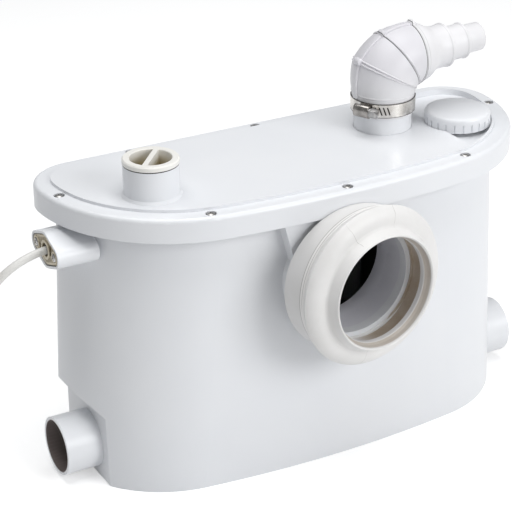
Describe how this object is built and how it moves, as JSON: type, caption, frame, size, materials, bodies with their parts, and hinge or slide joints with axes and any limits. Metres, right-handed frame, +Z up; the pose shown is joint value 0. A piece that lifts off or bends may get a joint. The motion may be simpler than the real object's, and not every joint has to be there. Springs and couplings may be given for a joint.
{
  "type": "sewage lifting station",
  "caption": "Floor-standing macerator station that takes a closet's outlet at the front and waste pipes low on both sides, and pumps up through a swivelling elbow.",
  "frame": {"origin": "on the floor under the middle of the tank's base", "axes": "+X along the tank towards the discharge, -Y out of the closet inlet, +Z up"},
  "size_m": [0.6569, 0.3009, 0.3412],
  "materials": {
    "white_plastic": "moulded gloss white",
    "soft_white": "soft white rubber, satin",
    "collar_rubber": "warm white rubber, satin",
    "ivory_plastic": "ivory plastic, satin",
    "black_rubber": "black rubber",
    "clamp_steel": "bright stainless band",
    "screw_steel": "plain steel",
    "blade_steel": "stainless steel",
    "carbon": "black carbon foam",
    "grey_plastic": "grey plastic",
    "motor_paint": "grey paint",
    "laminations": "varnished steel",
    "cord_white": "white cable sheath",
    "black_plastic": "black plastic",
    "plug_body": "white moulded plug"
  },
  "bodies": {
    "tank": {"tank_shell": "white_plastic", "lid": "white_plastic", "lid_gasket": "black_rubber", "lid_screws": "screw_steel", "inlet_collar": "collar_rubber", "left_flap_pin": "blade_steel", "right_flap_pin": "blade_steel", "vent_filter": "carbon", "valve_body": "white_plastic", "valve_pin": "blade_steel", "riser_pipe": "grey_plastic", "gland_plate": "ivory_plastic", "gland_screws": "screw_steel", "cord_grommet": "cord_white", "pump_casing": "grey_plastic", "grinder_basket": "blade_steel", "motor_base": "motor_paint", "motor_pillars": "blade_steel", "shaft_seal": "black_rubber", "lower_bearing": "screw_steel", "motor_can": "motor_paint", "motor_cap": "motor_paint", "upper_bearing": "screw_steel", "stator": "laminations", "control_box": "grey_plastic", "box_cover": "grey_plastic", "capacitor": "grey_plastic", "terminal_block": "ivory_plastic", "air_bell": "grey_plastic", "switch_housing": "grey_plastic", "switch_diaphragm": "black_rubber", "micro_switch": "black_plastic", "cord_lead": "cord_white", "mains_cord": "cord_white", "cord_coil": "cord_white", "mains_plug": "plug_body", "plug_pins": "screw_steel"},
    "motor_rotor": {"motor_shaft": "blade_steel", "rotor": "laminations", "impeller": "grey_plastic", "cutter_blade": "blade_steel"},
    "elbow": {"discharge_elbow": "soft_white", "clamp_band": "clamp_steel", "clamp_housing": "clamp_steel"},
    "clamp_worm": {"clamp_screw": "screw_steel"},
    "vent_cover": {"vent_cap": "white_plastic"},
    "plug_ring": {"plug_seal": "black_rubber"},
    "plug": {"inlet_plug": "ivory_plastic"},
    "outlet_flap": {"valve_flap": "black_rubber"},
    "left_flap": {"left_inlet_flap": "black_rubber"},
    "right_flap": {"right_inlet_flap": "black_rubber"},
    "level_plunger": {"switch_plunger": "ivory_plastic"}
  },
  "joints": [
    {"name": "motor_spin", "type": "hinge", "parent": "tank", "child": "motor_rotor", "pos_m": [0, 0.004, 0.11], "axis": [0, 0, 1], "continuous": true},
    {"name": "elbow_swivel", "type": "hinge", "parent": "tank", "child": "elbow", "pos_m": [0.091, 0.0176, 0.275], "axis": [0, 0, 1], "continuous": true},
    {"name": "clamp_screw_turn", "type": "hinge", "parent": "elbow", "child": "clamp_worm", "pos_m": [0.06291, 0.0039, 0.275], "axis": [0.4384, -0.8988, 0], "continuous": true},
    {"name": "vent_cap_lift", "type": "slide", "parent": "tank", "child": "vent_cover", "axis": [0, 0, 1], "range_m": [0, 0.015]},
    {"name": "plug_lift", "type": "slide", "parent": "tank", "child": "plug_ring", "axis": [0, 0, 1], "range_m": [0, 0.016]},
    {"name": "plug_turn", "type": "hinge", "parent": "plug_ring", "child": "plug", "pos_m": [-0.1418, -0.0162, 0.278], "axis": [0, 0, 1], "range_deg": [0, 1800]},
    {"name": "outlet_flap_swing", "type": "hinge", "parent": "tank", "child": "outlet_flap", "pos_m": [0.069, 0.0176, 0.2109], "axis": [0, -1, 0], "range_deg": [0, 65]},
    {"name": "left_flap_swing", "type": "hinge", "parent": "tank", "child": "left_flap", "pos_m": [-0.1827, 0.0194, 0.0576], "axis": [0, -1, 0], "range_deg": [0, 60]},
    {"name": "right_flap_swing", "type": "hinge", "parent": "tank", "child": "right_flap", "pos_m": [0.1827, 0.0194, 0.0576], "axis": [0, 1, 0], "range_deg": [0, 60]},
    {"name": "level_plunger_slide", "type": "slide", "parent": "tank", "child": "level_plunger", "axis": [0, 0, 1], "range_m": [0, 0.002], "stiffness_N_per_m": 200}
  ],
  "couplings": [
    {"joint": "plug_lift", "follows": "plug_turn", "m_per_rad": 0.0005093}
  ]
}
